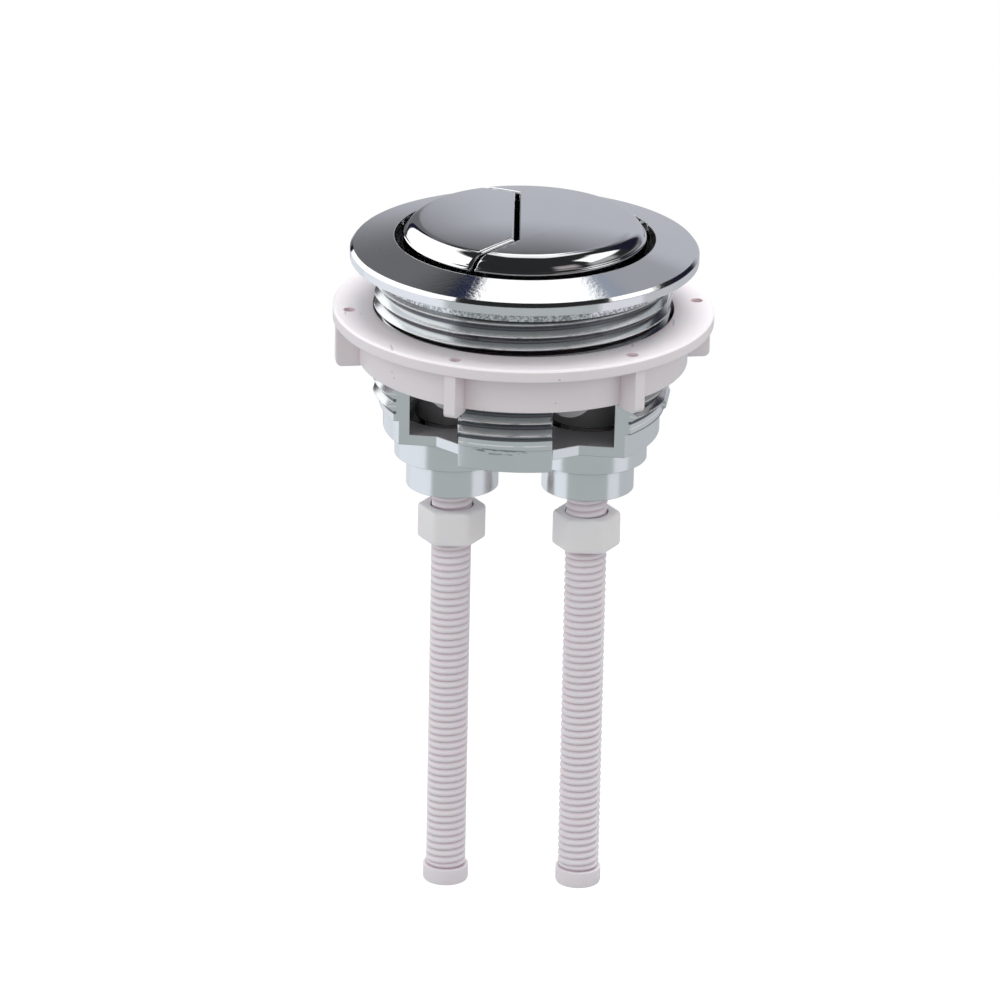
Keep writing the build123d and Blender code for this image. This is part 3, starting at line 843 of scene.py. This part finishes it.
def nut_reach(turn, inset):
    """How far the nut reaches from its axis at an angle, with its outline inset."""
    flat = NUT_FLAT - inset
    corner = max(NUT_CORNER - inset, NUT_LEAST_CORNER)
    half_flat = (flat - corner) * math.tan(HALF_SIDE_TURN)
    off = turn % (2 * HALF_SIDE_TURN) - HALF_SIDE_TURN
    straight = flat / math.cos(off)
    if abs(straight * math.sin(off)) <= half_flat:
        return straight
    centre_reach = math.hypot(flat - corner, half_flat)
    swing = HALF_SIDE_TURN - abs(off)
    return centre_reach * math.cos(swing) + math.sqrt(corner**2 - (centre_reach * math.sin(swing)) ** 2)


def nut_shape(top):
    """A nut about the Z axis, as loops that run once round its section."""
    shape = bmesh.new()
    rounding = []
    for i in range(NUT_RIM_STEPS + 1):
        angle = math.radians(90 * i / NUT_RIM_STEPS)
        rounding.append((NUT_RIM * (1 - math.sin(angle)), NUT_RIM * (1 - math.cos(angle))))
    section = [(inset, top - drop) for inset, drop in rounding]
    section += [(inset, top - NUT_HEIGHT + drop) for inset, drop in reversed(rounding)]
    turns = [2 * math.pi * i / NUT_SIDES for i in range(NUT_SIDES)]
    loops = [ring(shape, [nut_reach(turn, inset) for turn in turns], z) for inset, z in section]
    loops += [ring(shape, [NUT_BORE] * NUT_SIDES, z) for z in (top - NUT_HEIGHT, top)]
    for first, second in zip(loops, loops[1:] + loops[:1]):
        bridge(shape, first, second)
    bmesh.ops.recalc_face_normals(shape, faces=shape.faces)
    return shape


for side, sign in SIDES.items():
    nut = nut_shape(NUT_TOPS[side])
    bmesh.ops.translate(nut, vec=(sign * ROD_OFFSET, 0, 0), verts=nut.verts)
    new_piece(side + "_lock_nut_rounded", nut, lock_nut_plastic, side + "_lock_nut", side + "_flush_lock_nut")

# Buttons, with a true round bevel, a small ledge at its foot and rounded groove edges
BUTTON_RADIUS = 20.2
DOME_TOP = 7.9
DOME_EDGE_RADIUS = 17.3
DOME_EDGE_Z = 6.5
BEVEL_FOOT_RADIUS = 19.76
BEVEL_FOOT_TILT = math.radians(68)
BEVEL_STEPS = 18
DOME_RINGS = 12
LEDGE = ((19.8, 4.36), (19.86, 4.3), (20.0, 4.25), (20.1, 4.18), (20.17, 4.08), (20.2, 3.92))
SKIRT_BOTTOM = -3.0
CAP_SIDES = 288
GROOVE_HALF_WIDTH = 0.4
GROOVE_X = -1.35
GROOVE_HALF_LENGTH = 12.0
GROOVE_SLANT = math.radians(41)
GROOVE_ROUNDS = {"half": 0.5, "full": 0.14}
ROUND_STEPS = (0.0, 0.04, 0.13, 0.29, 0.5, 0.74, 1.0)
CUT_FINDING = 1e-5
BALL_RISE = DOME_TOP - DOME_EDGE_Z
BALL_RADIUS = (DOME_EDGE_RADIUS**2 + BALL_RISE**2) / (2 * BALL_RISE)


def slanted_run(end):
    """The way across the groove's slanted run at one end, and the corner it starts from."""
    across = Vector((math.sin(GROOVE_SLANT), end * math.cos(GROOVE_SLANT), 0))
    return across, Vector((GROOVE_X, end * GROOVE_HALF_LENGTH, 0))


GROOVE_LINES = ((Vector((1, 0, 0)), Vector((GROOVE_X, 0, 0))), slanted_run(-1), slanted_run(1))


def ball_height(radius):
    """The height of the shallow dome at a distance from its middle."""
    return DOME_TOP - BALL_RADIUS + math.sqrt(BALL_RADIUS**2 - radius**2)


def cap_profile():
    """The section of the dome as radius and height, from near the middle out to the skirt."""
    points = []
    for i in range(1, DOME_RINGS):
        radius = DOME_EDGE_RADIUS * i / DOME_RINGS
        points.append((radius, ball_height(radius)))
    first_tilt = math.asin(DOME_EDGE_RADIUS / BALL_RADIUS)
    curve = (BEVEL_FOOT_RADIUS - DOME_EDGE_RADIUS) / (math.sin(BEVEL_FOOT_TILT) - math.sin(first_tilt))
    for i in range(BEVEL_STEPS + 1):
        tilt = first_tilt + (BEVEL_FOOT_TILT - first_tilt) * i / BEVEL_STEPS
        out = curve * (math.sin(tilt) - math.sin(first_tilt))
        down = curve * (math.cos(first_tilt) - math.cos(tilt))
        points.append((DOME_EDGE_RADIUS + out, DOME_EDGE_Z - down))
    return (*points, *LEDGE)


CAP_PROFILE = cap_profile()


def cap_height(radius):
    """The height of the dome, its bevel and its ledge at a distance from the middle."""
    if radius <= DOME_EDGE_RADIUS:
        return ball_height(radius)
    for (near, near_z), (far, far_z) in zip(CAP_PROFILE, CAP_PROFILE[1:]):
        if near <= radius <= far:
            return near_z + (far_z - near_z) * (radius - near) / (far - near)
    return CAP_PROFILE[-1][1]


def past_groove(place):
    """How far a place lies past the groove's centre line, towards the full flush button."""
    return max(across.dot(place - corner) for across, corner in GROOVE_LINES)


def cap_shape(side):
    """The show face of one button and its outer walls, down to the foot of the skirt."""
    shape = bmesh.new()
    middle = shape.verts.new((0, 0, 0))
    rings = [ring(shape, [radius] * CAP_SIDES, 0) for radius, _ in CAP_PROFILE]
    for i in range(CAP_SIDES):
        shape.faces.new((middle, rings[0][i], rings[0][(i + 1) % CAP_SIDES]))
    for inner, outer in zip(rings, rings[1:]):
        bridge(shape, inner, outer)
    sign = SIDES[side]
    limit = sign * GROOVE_HALF_WIDTH
    rounding = GROOVE_ROUNDS[side]
    for across, corner in GROOVE_LINES:
        for share in ROUND_STEPS:
            cut = corner + across * (limit + sign * rounding * share)
            everything = [*shape.verts, *shape.edges, *shape.faces]
            bmesh.ops.bisect_plane(shape, geom=everything, dist=CUT_FINDING, plane_co=cut, plane_no=across)
    other_side = [f for f in shape.faces if sign * (past_groove(f.calc_center_median()) - limit) < 0]
    bmesh.ops.delete(shape, geom=other_side, context="FACES")
    for vertex in shape.verts:
        inset = min(max(sign * (past_groove(vertex.co) - limit), 0.0), rounding)
        drop = rounding - math.sqrt(rounding**2 - (rounding - inset) ** 2)
        vertex.co.z = cap_height(math.hypot(vertex.co.x, vertex.co.y)) - drop
    rim = [edge for edge in shape.edges if edge.is_boundary]
    for vertex in new_corners(bmesh.ops.extrude_edge_only(shape, edges=rim)["geom"]):
        vertex.co.z = SKIRT_BOTTOM
    bmesh.ops.recalc_face_normals(shape, faces=shape.faces)
    return shape


# How the outer faces of a solid button are told from the rest
BOTTOM_MARGIN = 0.01
SKIRT_MARGIN = 0.06
GROOVE_MARGIN = 0.02
OUTWARDS = 0.9
UPRIGHT = 0.1
BEVEL_REACH = 22
DOME_LEVEL = 5


def is_outer_face(face, side):
    """Whether a face of the solid button is one that the cap takes the place of."""
    place = face.calc_center_median()
    if place.z < SKIRT_BOTTOM + BOTTOM_MARGIN:
        return False
    radius = math.hypot(place.x, place.y)
    outwards = (face.normal.x * place.x + face.normal.y * place.y) / radius
    skirt = abs(radius - BUTTON_RADIUS) < SKIRT_MARGIN and outwards > OUTWARDS
    gap = abs(past_groove(Vector((place.x, place.y, 0))) - SIDES[side] * GROOVE_HALF_WIDTH)
    groove_wall = gap < GROOVE_MARGIN and abs(face.normal.z) < UPRIGHT
    return skirt or groove_wall or radius + place.z > BEVEL_REACH or place.z > DOME_LEVEL


def button_shape(side):
    """A button: the hollow shell, tube and legs of the solid, under the finer cap."""
    shape = bmesh.new()
    shape.from_mesh(nodes[side + "_flush_button"].data)
    bmesh.ops.scale(shape, vec=(1 / MM, 1 / MM, 1 / MM), verts=shape.verts)
    shape.normal_update()
    outer = [face for face in shape.faces if is_outer_face(face, side)]
    bmesh.ops.delete(shape, geom=outer, context="FACES")
    cap = cap_shape(side)
    cap_mesh = bpy.data.meshes.new(side + "_cap")
    cap.to_mesh(cap_mesh)
    cap.free()
    shape.from_mesh(cap_mesh)
    bpy.data.meshes.remove(cap_mesh)
    bmesh.ops.remove_doubles(shape, verts=shape.verts, dist=MERGE_DISTANCE)
    return shape


for side in SIDES:
    button = button_shape(side)
    new_piece(side + "_button_plated", button, button_chrome, side + "_button", side + "_flush_button")

# Floor, pale and plain, below where the rods reach when unscrewed and pressed
FLOOR_Z = -150.0 * MM
FLOOR_RADIUS = 0.27
FLOOR_SIDES = 128
FLOOR_COLOUR = grey(0.12)
FLOOR_GLOW = 0.93


def floor_finish():
    """Near white from above with a faint shadow, clear from below and out of the way of reflections."""
    material, tree, shader = finish_tree("studio_floor")
    shader.inputs["Base Color"].default_value = FLOOR_COLOUR
    shader.inputs["Roughness"].default_value = 1.0
    shader.inputs["Specular IOR Level"].default_value = 0.0
    shader.inputs["Emission Color"].default_value = grey(1.0)
    shader.inputs["Emission Strength"].default_value = FLOOR_GLOW
    clear = shade(tree, "BsdfTransparent").outputs[0]
    from_above = rest(tree, shade(tree, "NewGeometry").outputs["Backfacing"])
    shown = product(tree, shade(tree, "LightPath").outputs["Is Camera Ray"], from_above)
    mixed = shade(tree, "MixShader", {0: shown, 1: clear, 2: shader.outputs[0]})
    feed(tree, tree.nodes["Material Output"].inputs["Surface"], mixed.outputs[0])
    return material


floor_round = bmesh.new()
floor_round.faces.new(ring(floor_round, [FLOOR_RADIUS] * FLOOR_SIDES, 0))
floor_mesh = bpy.data.meshes.new("studio_floor")
floor_round.to_mesh(floor_mesh)
floor_round.free()
coat(floor_mesh, floor_finish())
studio_floor = bpy.data.objects.new("studio_floor", floor_mesh)
studio_floor.location.z = FLOOR_Z
bpy.context.scene.collection.objects.link(studio_floor)
